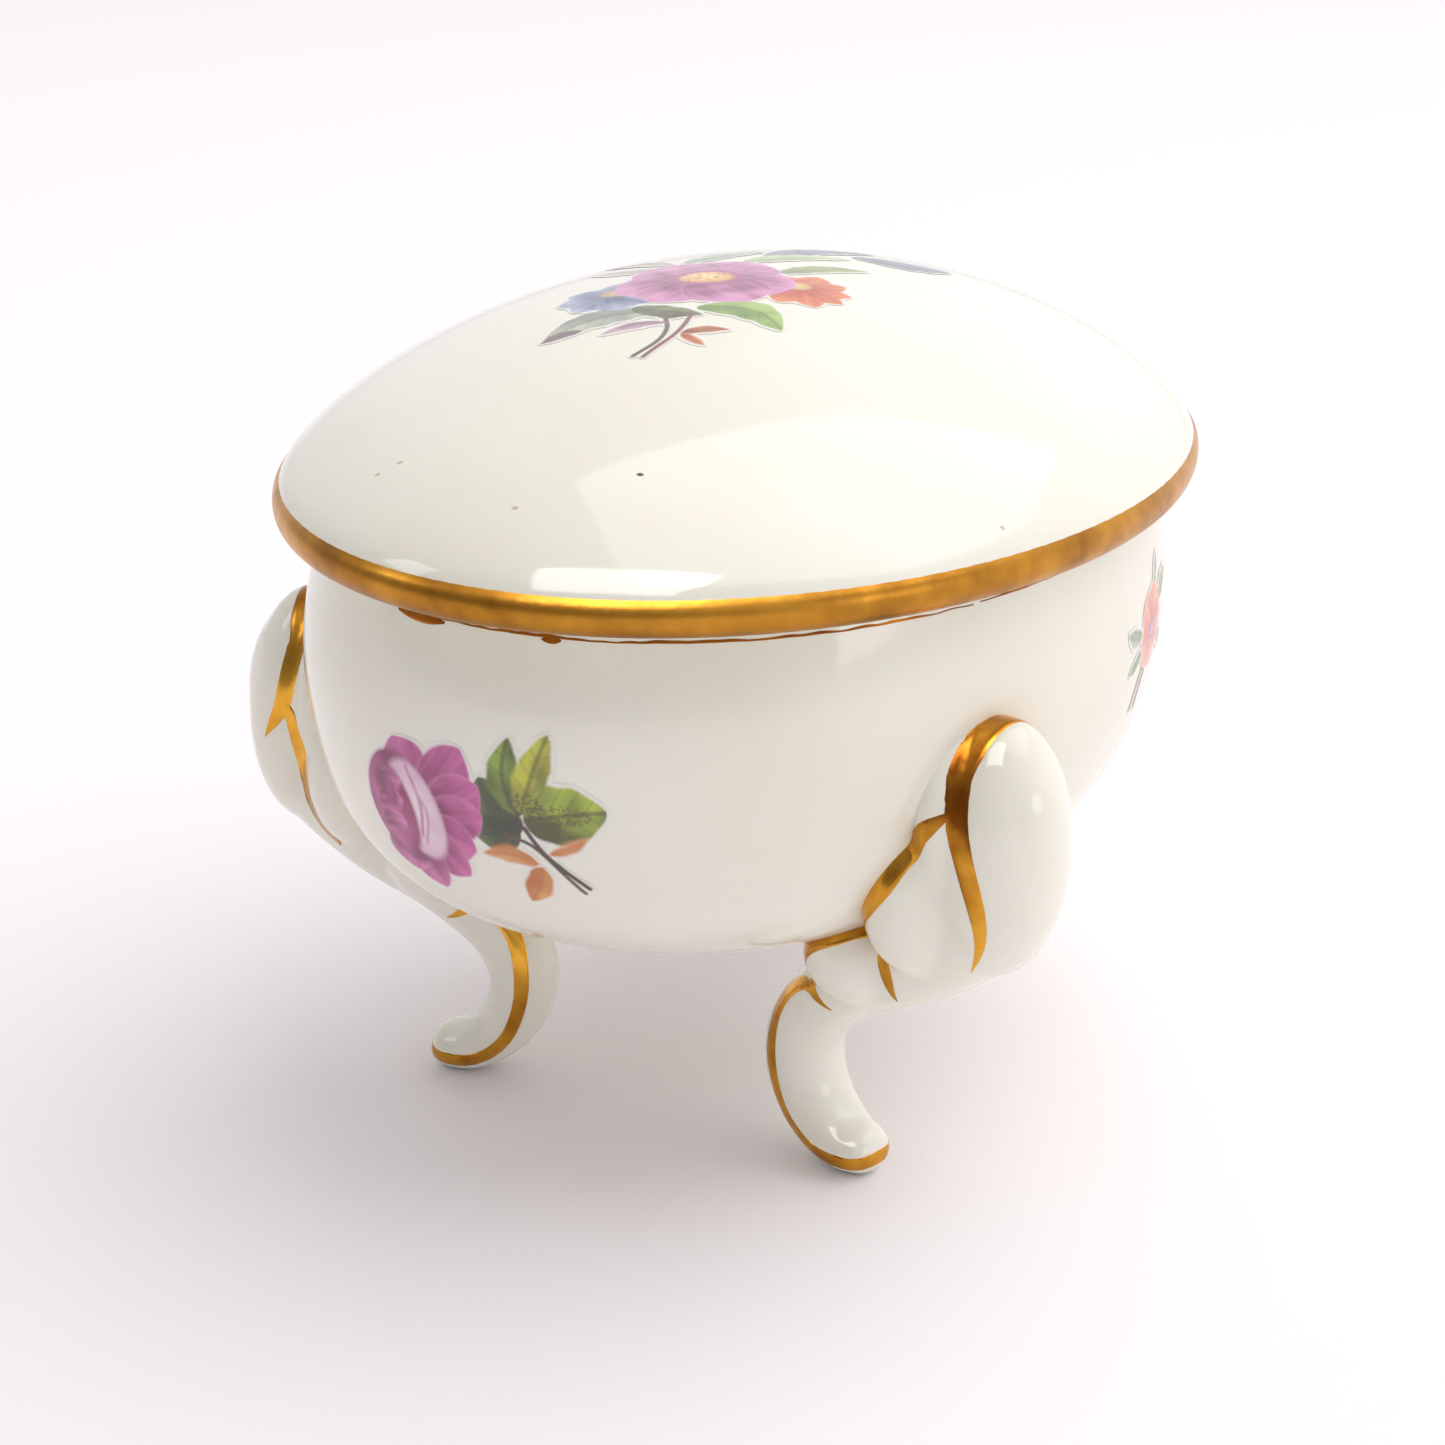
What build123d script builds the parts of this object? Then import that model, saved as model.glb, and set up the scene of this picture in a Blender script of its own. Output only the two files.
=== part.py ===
from build123d import *
import math
import os

os.makedirs("parts", exist_ok=True)

# A footed oval trinket box of porcelain with a lift-off lid. Units are millimetres, +Z is up, z = 0 is the
# table, the long axis of the oval lies along Y and the front of the box is -Y. The plan is an oval: each
# profile is drawn along the long axis and revolved, and the round body is then narrowed across by
# PLAN_RATIO, as a slip-cast oval keeps its profile all the way round.

# Driving dimensions of the plan
LID_LENGTH = 100.0
PLAN_RATIO = 0.737
LID_HALF = LID_LENGTH / 2

# Driving dimensions of the bowl, radii along the long axis
BOWL_FLOOR_Z = 20.2
RIM_Z = 55.3
RIM_HALF = 45.2
BELLY_HALF = 47.4
BELLY_Z = 43.0
HEEL_HALF = 30.5
HEEL_Z = 22.2
CORNER_HALF = 43.6
CORNER_Z = 30.8
WALL = 3.0
RIM_WALL = 3.2
HEEL_INSET_SHARE = 0.6
CORNER_LIFT_SHARE = 0.5
RIM_DIRECTION = (-0.28, 1)

# Driving dimensions of the lid
LID_GAP = 0.2
BAND_HEIGHT = 3.0
BAND_SKIN = 0.3
DOME_RISE = 14.3
DOME_POWER = 0.766
DOME_TUCK = 0.7
CEILING_DROP = 3.6
CEILING_START = 0.8
FLANGE_GAP = 0.8
FLANGE_WALL = 2.6
FLANGE_DROP = 4.0
FLANGE_DRAFT = 0.4
EDGE_TUCK = 1.0

# The gold line that is fired on the bowl just under its rim
RIM_LINE_HEIGHT = 0.8
RIM_LINE_SKIN = 0.2
RIM_LINE_FLARE = 0.22

# Driving dimensions of a scroll leg, in its own upright plane: out from the foot, and up
KNEE_OUT = 20.4
SOLE_DROP = 0.3
SIDE_FOOT = (18.46, -16.93)
SIDE_HEADING = -15.2
BACK_HEADING = 90.0
KNEE_PROUD = 7.0

# The back knee stands further out than the lid, so the bowl's axis is moved forward until the middle of the
# whole footprint is at the origin.
BACK_REACH = BELLY_HALF + KNEE_PROUD
AXIS_Y = -(BACK_REACH - LID_HALF) / 2
BOWL_AXIS = Axis((0, AXIS_Y, 0), (0, 0, 1))
PROFILE_PLANE = Plane(origin=(0, AXIS_Y, 0), x_dir=(0, 1, 0), z_dir=(1, 0, 0))
OVAL = (PLAN_RATIO, 1, 1)

# Heights that follow from the driving dimensions
BAND_BOTTOM = RIM_Z + LID_GAP
BAND_TOP = BAND_BOTTOM + BAND_HEIGHT
BAND_MIDDLE = (BAND_BOTTOM + BAND_TOP) / 2
FLANGE_HALF = RIM_HALF - RIM_WALL - FLANGE_GAP
DOME_HALF = LID_HALF - DOME_TUCK
TOP_Z = BAND_TOP + DOME_RISE
LINE_HALF = RIM_HALF + RIM_LINE_FLARE
LINE_Z = RIM_Z - RIM_LINE_HEIGHT


def dome_height(share, rise, base):
    """Height of the dome at a share of its half length, flat on top and steep at the edge."""
    return base + rise * (1 - share**2) ** DOME_POWER


def dome_curve(half, rise, base):
    """Spline along the dome from its crown to its edge."""
    shares = [0, 0.3, 0.55, 0.75, 0.9, 0.97, 1]
    points = [(share * half, dome_height(share, rise, base)) for share in shares]
    return Spline(*points, tangents=[(1, 0), (0.5, -1)])


def bowl_outside(top_half, top_z, inset=0.0, floor_lift=0.0):
    """Spline along the bowl from the middle of its floor, round the heel and up the wall."""
    return Spline(
        (0, BOWL_FLOOR_Z + floor_lift),
        (HEEL_HALF - HEEL_INSET_SHARE * inset, HEEL_Z + floor_lift),
        (CORNER_HALF - inset, CORNER_Z + CORNER_LIFT_SHARE * inset),
        (BELLY_HALF - inset, BELLY_Z),
        (top_half, top_z),
        tangents=[(1, 0), RIM_DIRECTION],
    )


# The bowl: an even wall that is bellied a little below the rim, with a flat-ground rim. The gold line lies in
# a shallow seat just under the rim, so that its face is flush with the glaze.
with BuildPart() as bowl:
    with BuildSketch(PROFILE_PLANE):
        with BuildLine():
            outside = bowl_outside(LINE_HALF, LINE_Z)
            inside = bowl_outside(RIM_HALF - RIM_WALL, RIM_Z, inset=WALL, floor_lift=WALL)
            Polyline(
                outside @ 1,
                (LINE_HALF - RIM_LINE_SKIN, LINE_Z),
                (RIM_HALF - RIM_LINE_SKIN, RIM_Z),
                inside @ 1,
            )
            Line(inside @ 0, outside @ 0)
        make_face()
    revolve(axis=BOWL_AXIS)
    scale(by=OVAL)
bowl.part.label = "bowl"

# The gold line that fills the seat.
with BuildPart() as bowl_rim_gold_line:
    with BuildSketch(PROFILE_PLANE):
        with BuildLine():
            Polyline(
                (LINE_HALF, LINE_Z),
                (RIM_HALF, RIM_Z),
                (RIM_HALF - RIM_LINE_SKIN, RIM_Z),
                (LINE_HALF - RIM_LINE_SKIN, LINE_Z),
                close=True,
            )
        make_face()
    revolve(axis=BOWL_AXIS)
    scale(by=OVAL)
bowl_rim_gold_line.part.label = "bowl_rim_gold_line"

# The lid: a low dome with a rolled edge, and under it the locating flange that drops inside the bowl.
with BuildPart() as lid:
    with BuildSketch(PROFILE_PLANE):
        with BuildLine():
            crown = dome_curve(DOME_HALF, DOME_RISE, BAND_TOP)
            roll = ThreePointArc(
                crown @ 1,
                (LID_HALF - BAND_SKIN, BAND_MIDDLE),
                (LID_HALF - EDGE_TUCK, BAND_BOTTOM),
            )
            ceiling = dome_curve(
                FLANGE_HALF - FLANGE_WALL, DOME_RISE - CEILING_DROP, BAND_TOP + CEILING_START
            )
            Polyline(
                roll @ 1,
                (FLANGE_HALF, BAND_BOTTOM),
                (FLANGE_HALF - FLANGE_DRAFT, BAND_BOTTOM - FLANGE_DROP),
                (FLANGE_HALF - FLANGE_WALL, BAND_BOTTOM - FLANGE_DROP),
                ceiling @ 1,
            )
            Line(ceiling @ 0, crown @ 0)
        make_face()
    revolve(axis=BOWL_AXIS)
    scale(by=OVAL)
lid.part.label = "lid"

# The burnished gold on the rolled edge: a crescent skin that wraps the roll.
with BuildPart() as lid_gold_band:
    with BuildSketch(PROFILE_PLANE):
        with BuildLine():
            seat = ThreePointArc(
                (DOME_HALF, BAND_TOP),
                (LID_HALF - BAND_SKIN, BAND_MIDDLE),
                (LID_HALF - EDGE_TUCK, BAND_BOTTOM),
            )
            ThreePointArc(seat @ 0, (LID_HALF, BAND_MIDDLE), seat @ 1)
        make_face()
    revolve(axis=BOWL_AXIS)
    scale(by=OVAL)
lid_gold_band.part.label = "lid_gold_band"

# The leg's plane holds u, outward from the foot, and z. Stations down the scroll, each an oval section:
# (out, up, heading in degrees, half depth, half width). The first is buried in the bowl's wall, where the leg
# is luted on; the knee bulges out of the wall, the shank is slim and the toe turns outward.
STATIONS = [
    (12.0, 41.0, 0, 3.9, 4.5),
    (15.2, 38.6, -50, 4.6, 5.8),
    (15.5, 33.6, -90, 4.9, 6.1),
    (13.4, 28.2, -118, 5.2, 5.9),
    (8.2, 23.0, -142, 4.3, 5.4),
    (2.0, 18.6, -146, 3.1, 4.6),
    (-2.9, 14.2, -120, 3.2, 4.0),
    (-4.6, 9.6, -88, 3.1, 3.8),
    (-3.1, 5.2, -50, 2.9, 3.6),
    (0.1, 2.4 - SOLE_DROP, -15, 2.4, 3.3),
    (3.0, 2.1 - SOLE_DROP, 4, 1.9, 2.5),
    (4.1, 2.2 - SOLE_DROP, 10, 0.9, 1.2),
]


def in_leg_plane(foot, heading, out, up):
    """Point of a leg's plane in the part's frame."""
    turn = math.radians(heading)
    return (foot[0] + out * math.cos(turn), foot[1] + out * math.sin(turn), up)


def scroll_leg(foot, heading):
    """Scroll leg that bulges at the knee and turns out at the toe, with a sole ground flat on the table."""
    turn = math.radians(heading)
    across = (-math.sin(turn), math.cos(turn), 0)
    with BuildPart() as leg:
        for out, up, slope, depth, width in STATIONS:
            lean = math.radians(slope)
            along = (math.cos(lean) * math.cos(turn), math.cos(lean) * math.sin(turn), math.sin(lean))
            with BuildSketch(Plane(in_leg_plane(foot, heading, out, up), x_dir=across, z_dir=along)):
                Ellipse(width, depth)
        loft()
        split(bisect_by=Plane.XY, keep=Keep.TOP)
    return leg.part


side_foot = (SIDE_FOOT[0], SIDE_FOOT[1] + AXIS_Y)
back_foot = (0, BACK_REACH - KNEE_OUT + AXIS_Y)
legs = {
    "leg_right": scroll_leg(side_foot, SIDE_HEADING),
    "leg_left": scroll_leg((-side_foot[0], side_foot[1]), 180 - SIDE_HEADING),
    "leg_back": scroll_leg(back_foot, BACK_HEADING),
}

for piece in (bowl, bowl_rim_gold_line, lid, lid_gold_band):
    export_step(piece.part, f"parts/{piece.part.label}.step")
for name, leg in legs.items():
    leg.label = name
    export_step(leg, f"parts/{name}.step")
    sole = leg.faces().filter_by(Axis.Z).sort_by(Axis.Z)[0]
    print(name, "sole centre", sole.center(), "area", round(sole.area, 2))
    print(name, "solids", len(leg.solids()), leg.bounding_box())
print("whole height", TOP_Z, "bowl axis at y =", AXIS_Y)
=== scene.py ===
# %% [markdown]
# A footed porcelain trinket box
#
# The real object is a small oval box of glazed porcelain. A low domed lid lifts off an oval bowl, and the
# bowl stands on three scroll legs that were cast apart and luted on before firing. Burnished gold runs round
# the lid's rolled edge and along the scrolls, and small sprays of flowers are fired on as transfers.
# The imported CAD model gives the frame: every piece below takes its place from it, in metres.

# %% load the frame
import bpy
import bmesh
import math
import numpy as np
from mathutils import Matrix, Vector, noise
from mathutils.bvhtree import BVHTree


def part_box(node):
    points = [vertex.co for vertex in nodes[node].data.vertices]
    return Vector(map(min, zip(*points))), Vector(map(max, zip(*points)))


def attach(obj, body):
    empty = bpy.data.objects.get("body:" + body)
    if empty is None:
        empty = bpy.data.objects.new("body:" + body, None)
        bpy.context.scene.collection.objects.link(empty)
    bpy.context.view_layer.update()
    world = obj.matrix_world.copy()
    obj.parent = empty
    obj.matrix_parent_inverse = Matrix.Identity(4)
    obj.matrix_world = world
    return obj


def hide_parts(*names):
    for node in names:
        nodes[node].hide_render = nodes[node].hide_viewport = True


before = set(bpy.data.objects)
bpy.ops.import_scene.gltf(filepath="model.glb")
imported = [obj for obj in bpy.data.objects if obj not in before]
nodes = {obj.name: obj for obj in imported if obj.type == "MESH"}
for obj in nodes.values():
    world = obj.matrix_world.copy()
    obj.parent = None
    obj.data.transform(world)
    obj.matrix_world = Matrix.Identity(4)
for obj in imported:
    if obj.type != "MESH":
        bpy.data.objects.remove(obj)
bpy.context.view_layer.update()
MM = 0.001

# %% [markdown]
# The oval and its axis
#
# The box is one profile carried round an oval. The bowl's axis is not quite at the origin, because the back
# knee stands further out than the lid, so the axis and the half lengths are read from the CAD nodes.

# %% measure the oval
band_low, band_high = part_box("lid_gold_band")
AXIS = Vector(((band_low.x + band_high.x) / 2, (band_low.y + band_high.y) / 2, 0))
HALF_LONG = (band_high.y - band_low.y) / 2
HALF_WIDE = (band_high.x - band_low.x) / 2
OVAL_RATIO = HALF_WIDE / HALF_LONG
print("axis", AXIS, "half length", HALF_LONG, "ratio", OVAL_RATIO)


def in_mm(x, y, z):
    """Point given in millimetres from the bowl's axis, as a place in the frame."""
    return Vector((AXIS.x + x * MM, AXIS.y + y * MM, z * MM))


# %% [markdown]
# Colours and nodes
#
# Colours are written as sRGB hex values, as a decorator would match them, and turned to linear once here. One
# helper adds any node with its settings and links.

# %% colour and node helpers
def linear(hex_colour):
    """sRGB hex to a linear RGBA colour."""
    channels = [int(hex_colour[i : i + 2], 16) / 255 for i in (1, 3, 5)]
    return (*[c / 12.92 if c <= 0.04045 else ((c + 0.055) / 1.055) ** 2.4 for c in channels], 1)


def add_node(tree, kind, settings=None, **inputs):
    """Adds a node. settings are its properties; an input is a value, or a socket to link from."""
    node = tree.nodes.new(kind)
    for key, value in (settings or {}).items():
        setattr(node, key, value)
    for key, value in inputs.items():
        wanted = key.replace("_", " ").strip().lower()
        socket = next(s for s in node.inputs if s.name.lower() == wanted and s.enabled)
        if isinstance(value, bpy.types.NodeSocket):
            tree.links.new(value, socket)
        else:
            socket.default_value = value
    return node


def new_material(name):
    """Empty material with its output, and the tree to build in."""
    material = bpy.data.materials.new(name)
    material.use_nodes = True
    material.node_tree.nodes.clear()
    return material, material.node_tree


def put_out(tree, shader):
    """Joins a shader to the material's output."""
    out = tree.nodes.new("ShaderNodeOutputMaterial")
    tree.links.new(shader.outputs[0], out.inputs[0])


def colour_ramp(tree, factor, stops):
    """Colour ramp with (place, hex) stops."""
    ramp = add_node(tree, "ShaderNodeValToRGB", fac=factor)
    while len(ramp.color_ramp.elements) < len(stops):
        ramp.color_ramp.elements.new(0.5)
    for element, (place, hex_colour) in zip(ramp.color_ramp.elements, stops):
        element.position = place
        element.color = linear(hex_colour)
    return ramp


def spread(tree, factor, low, high, start=0.3, end=0.7):
    """Map Range from a noise's middle range to low..high."""
    return add_node(
        tree, "ShaderNodeMapRange", value=factor, from_min=start, from_max=end, to_min=low, to_max=high
    ).outputs[0]


def maths(tree, operation, first, second):
    """Math node on two terms, each a socket or a number."""
    node = add_node(tree, "ShaderNodeMath", {"operation": operation})
    for socket, term in zip(node.inputs, (first, second)):
        if isinstance(term, bpy.types.NodeSocket):
            tree.links.new(term, socket)
        else:
            socket.default_value = term
    return node.outputs[0]


def grain(size):
    """Noise scale for a pattern whose features are about size mm across."""
    return 1 / (size * MM)


# %% [markdown]
# Glazed porcelain
#
# Hard porcelain under a clear feldspar glaze: a slightly warm white body, and a glassy skin with an IOR near
# 1.52. The glaze lies a little unevenly, so its gloss wavers over a few centimetres and its skin over a few
# millimetres, and the kiln leaves a few dark specks. The body passes a little light, which a small
# subsurface share gives.

# %% glazed porcelain
GLAZE_IOR = 1.52
SPECK_SIZE = 0.022
SPECK_RARITY = 0.9


def glazed_porcelain(name):
    """Warm white porcelain body under a clear, slightly uneven glaze, with a few kiln specks."""
    material, tree = new_material(name)
    place = add_node(tree, "ShaderNodeTexCoord").outputs["Object"]
    cloud = add_node(
        tree, "ShaderNodeTexNoise", vector=place, scale=grain(26), detail=3.0, roughness=0.5
    ).outputs[0]
    peel = add_node(tree, "ShaderNodeTexNoise", vector=place, scale=grain(2.4), detail=2.0).outputs[0]
    body = colour_ramp(tree, cloud, [(0.3, "#EFEBDB"), (0.7, "#F6F3E7")]).outputs[0]
    # Each cell could hold one round speck at its middle, and only a few of them do.
    cells = add_node(tree, "ShaderNodeTexVoronoi", vector=place, scale=grain(12), randomness=1.0)
    chance = add_node(tree, "ShaderNodeSeparateColor", color=cells.outputs["Color"]).outputs[0]
    near = maths(tree, "LESS_THAN", cells.outputs["Distance"], SPECK_SIZE)
    rare = maths(tree, "GREATER_THAN", chance, SPECK_RARITY)
    both = maths(tree, "MULTIPLY", near, rare)
    speck = add_node(tree, "ShaderNodeMix", {"data_type": "RGBA"})
    tree.links.new(both, speck.inputs["Factor"])
    tree.links.new(body, speck.inputs["A"])
    speck.inputs["B"].default_value = linear("#A98F78")
    bump = add_node(tree, "ShaderNodeBump", strength=0.03, distance=0.2 * MM, height=peel)
    shader = add_node(
        tree,
        "ShaderNodeBsdfPrincipled",
        base_color=speck.outputs["Result"],
        roughness=spread(tree, cloud, 0.05, 0.11),
        ior=GLAZE_IOR,
        subsurface_weight=0.08,
        subsurface_scale=2 * MM,
        normal=bump.outputs[0],
    )
    put_out(tree, shader)
    return material


# %% [markdown]
# Burnished gold
#
# Liquid gold is brushed on the glaze, fired and rubbed with agate. It is a real metal film, so it is fully
# metallic, and its colour goes from yellow where it is thick to red-brown where the brush left it thin. The
# brush lays it in streaks, and handling has dulled it in patches.

# %% burnished gold
def burnished_gold(name, bright, deep, rough_low=0.2, rough_high=0.42):
    """Fired gold film with brush-thin red-brown patches and rubbed streaks."""
    material, tree = new_material(name)
    place = add_node(tree, "ShaderNodeTexCoord").outputs["Object"]
    patches = add_node(
        tree, "ShaderNodeTexNoise", vector=place, scale=grain(11), detail=4.0, roughness=0.6
    ).outputs[0]
    fine = add_node(tree, "ShaderNodeTexNoise", vector=place, scale=grain(0.7), detail=2.0).outputs[0]
    colour = colour_ramp(tree, patches, [(0.32, deep), (0.62, bright)]).outputs[0]
    gloss = spread(tree, patches, rough_high, rough_low)
    bump = add_node(tree, "ShaderNodeBump", strength=0.12, distance=0.05 * MM, height=fine)
    shader = add_node(
        tree,
        "ShaderNodeBsdfPrincipled",
        base_color=colour,
        metallic=1.0,
        roughness=gloss,
        normal=bump.outputs[0],
    )
    put_out(tree, shader)
    return material


PORCELAIN = glazed_porcelain("glazed_porcelain")
BAND_GOLD = burnished_gold("burnished_band_gold", "#CE9234", "#8A561C", 0.26, 0.4)
LINE_GOLD = burnished_gold("brushed_line_gold", "#B9782E", "#7A4216", 0.3, 0.5)
for name, finish in (
    ("bowl", PORCELAIN),
    ("lid", PORCELAIN),
    ("lid_gold_band", BAND_GOLD),
    ("bowl_rim_gold_line", LINE_GOLD),
    ("leg_right", PORCELAIN),
    ("leg_left", PORCELAIN),
    ("leg_back", PORCELAIN),
):
    nodes[name].data.materials.clear()
    nodes[name].data.materials.append(finish)
print("materials on the CAD nodes")

# %% [markdown]
# The scroll legs
#
# On the real box each leg is a separate casting: a knee of three swelling leaf lobes, the largest one on
# top, and below them a slim shank that turns outward at the toe. It could be carved from one block or swept
# along a curve, but the lobes have to overlap with soft creases. So the shank is a skin of faces laid between
# oval rings, each lobe is a sphere pressed into an egg, and one voxel remesh fuses them, as slip would.

# %% helpers for modelling
def clear_selection():
    """Leaves nothing selected, so that an operator acts only on what comes next."""
    if bpy.context.object and bpy.context.object.mode != "OBJECT":
        bpy.ops.object.mode_set(mode="OBJECT")
    bpy.ops.object.select_all(action="DESELECT")


def make_active(piece):
    clear_selection()
    piece.select_set(True)
    bpy.context.view_layer.objects.active = piece


def apply_modifier(piece, kind, **settings):
    """Adds a modifier with its settings and applies it at once."""
    make_active(piece)
    modifier = piece.modifiers.new(kind.lower(), kind)
    for key, value in settings.items():
        setattr(modifier, key, value)
    bpy.ops.object.modifier_apply(modifier=modifier.name)


def surface_of(piece):
    """Search tree over a piece's mesh, for dropping points on its surface."""
    work = bmesh.new()
    work.from_mesh(piece.data)
    tree = BVHTree.FromBMesh(work)
    work.free()
    return tree


def smooth_path(points, steps):
    """Catmull-Rom curve through rows of numbers, evenly sampled between them."""
    rows = np.array(points, float)
    rows = np.vstack([2 * rows[0] - rows[1], rows, 2 * rows[-1] - rows[-2]])
    out = []
    for k in range(1, len(rows) - 2):
        before, start, end, after = rows[k - 1 : k + 3]
        for t in np.arange(steps) / steps:
            out.append(
                0.5
                * (
                    2 * start
                    + (end - before) * t
                    + (2 * before - 5 * start + 4 * end - after) * t**2
                    + (3 * start - before - 3 * end + after) * t**3
                )
            )
    out.append(rows[-2])
    return np.array(out)


BOWL_SURFACE = surface_of(nodes["bowl"])
BOWL_HEART = in_mm(0, 0, 45)

# %% [markdown]
# The measures of one leg
#
# The knee's lobes lie one behind the other down the scroll, and the last egg is the fillet of slip that joins
# the knee to the wall. A leg is made in its own upright plane, with X out from the foot, because its curve is
# simple there, and it is then set in its place. All measures are in millimetres in that plane.

# %% model one leg
# Lobe: out, up, half depth, half width, half length, lean in degrees
LOBES = [
    (15.0, 34.0, 5.3, 6.3, 10.9, 2),
    (9.8, 30.2, 5.0, 9.3, 8.8, 0),
    (3.0, 22.2, 5.1, 7.5, 5.5, -22),
    (12.6, 36.4, 3.0, 7.6, 9.4, 6),
]
# Ring: out, up, heading in degrees, half depth, half width
RINGS = [
    (12.0, 41.0, 0, 3.9, 4.4),
    (15.1, 38.6, -50, 4.7, 5.0),
    (15.4, 33.6, -90, 5.0, 5.3),
    (13.3, 28.2, -118, 5.3, 5.3),
    (8.2, 23.0, -142, 4.5, 5.0),
    (2.0, 18.5, -146, 3.4, 4.5),
    (-2.9, 14.2, -120, 3.3, 4.1),
    (-4.6, 9.6, -88, 3.15, 3.9),
    (-3.1, 5.2, -50, 2.9, 3.7),
    (0.1, 2.5, -14, 2.5, 3.4),
    (2.9, 2.1, 6, 2.0, 2.7),
    (3.9, 2.3, 12, 1.2, 1.6),
]
RING_CORNERS = 32
RING_STEPS = 6
VOXEL = 0.28 * MM
SLIP_SMOOTHING = 28
WALL_SINK = 1.2 * MM


def scroll_leg(name, node, foot, heading):
    """Leg of three leaf lobes and a slim shank, standing at foot and facing heading (degrees)."""
    clear_selection()
    mesh = bpy.data.meshes.new(name)
    leg = bpy.data.objects.new(name, mesh)
    bpy.context.scene.collection.objects.link(leg)
    work = bmesh.new()
    loops = []
    # The rings are eased from one to the next, so that the scroll's outline has no corners.
    for out, up, slope, depth, width in smooth_path(RINGS, RING_STEPS):
        lean = math.radians(slope)
        loops.append(
            [
                work.verts.new(
                    (
                        (out - math.sin(lean) * depth * math.cos(a)) * MM,
                        width * math.sin(a) * MM,
                        (up + math.cos(lean) * depth * math.cos(a)) * MM,
                    )
                )
                for a in (math.tau * k / RING_CORNERS for k in range(RING_CORNERS))
            ]
        )
    for first, second in zip(loops, loops[1:]):
        for k in range(RING_CORNERS):
            j = (k + 1) % RING_CORNERS
            work.faces.new((first[k], first[j], second[j], second[k]))
    work.faces.new(loops[0])
    work.faces.new(loops[-1])
    bmesh.ops.recalc_face_normals(work, faces=work.faces)
    work.to_mesh(mesh)
    work.free()
    make_active(leg)
    bpy.ops.object.mode_set(mode="EDIT")
    for out, up, depth, width, length, lean in LOBES:
        bpy.ops.mesh.primitive_uv_sphere_add(
            segments=48,
            ring_count=32,
            radius=MM,
            location=(out * MM, 0, up * MM),
            rotation=(0, math.radians(-lean), 0),
            scale=(depth, width, length),
        )
    bpy.ops.object.mode_set(mode="OBJECT")
    leg.location = (0, 0, 0)
    apply_modifier(leg, "REMESH", mode="VOXEL", voxel_size=VOXEL, use_smooth_shade=True)
    apply_modifier(leg, "SMOOTH", factor=0.5, iterations=SLIP_SMOOTHING)
    place = Matrix.Translation(foot) @ Matrix.Rotation(math.radians(heading), 4, "Z")
    leg.data.transform(place)
    # What would stand inside the bowl is drawn back into its wall, and the sole is ground flat.
    for vertex in leg.data.vertices:
        ray = vertex.co - BOWL_HEART
        hit = BOWL_SURFACE.ray_cast(BOWL_HEART, ray.normalized())
        if hit[0] is not None and ray.length < hit[3] + WALL_SINK:
            vertex.co = BOWL_HEART + ray.normalized() * (hit[3] + WALL_SINK)
        vertex.co.z = max(vertex.co.z, 0)
    leg.data.update()
    make_active(leg)
    bpy.ops.object.shade_smooth()
    leg.data.materials.clear()
    leg.data.materials.append(PORCELAIN)
    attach(leg, "base")
    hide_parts(node)
    print(name, len(leg.data.polygons), "faces")
    return leg, place


SIDE_FOOT = (18.46, -16.93)
SIDE_HEADING = -15.2
BACK_FOOT_OUT = 34.0
LEGS = {
    "right": scroll_leg("scroll_leg_right", "leg_right", in_mm(*SIDE_FOOT, 0), SIDE_HEADING),
    "left": scroll_leg(
        "scroll_leg_left", "leg_left", in_mm(-SIDE_FOOT[0], SIDE_FOOT[1], 0), 180 - SIDE_HEADING
    ),
    "back": scroll_leg("scroll_leg_back", "leg_back", in_mm(0, BACK_FOOT_OUT, 0), 90),
}

# %% [markdown]
# Gold strokes on the scrolls
#
# A decorator draws these with a liner brush. Each stroke swells where the brush was pressed and ends in a
# point. It could be a colour mask on the glaze, but the gold has its own thickness and crisp edge, so each
# stroke is a thin ribbon laid on the leg's own surface, with its own metal.

# %% lay a brush stroke on a surface
FILM = 0.05 * MM
FILM_DEPTH = 1.6
EASING = 12
STROKE_STEPS = 10
THINNEST = 0.08 * MM
CRISP_ANGLE = 50


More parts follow.
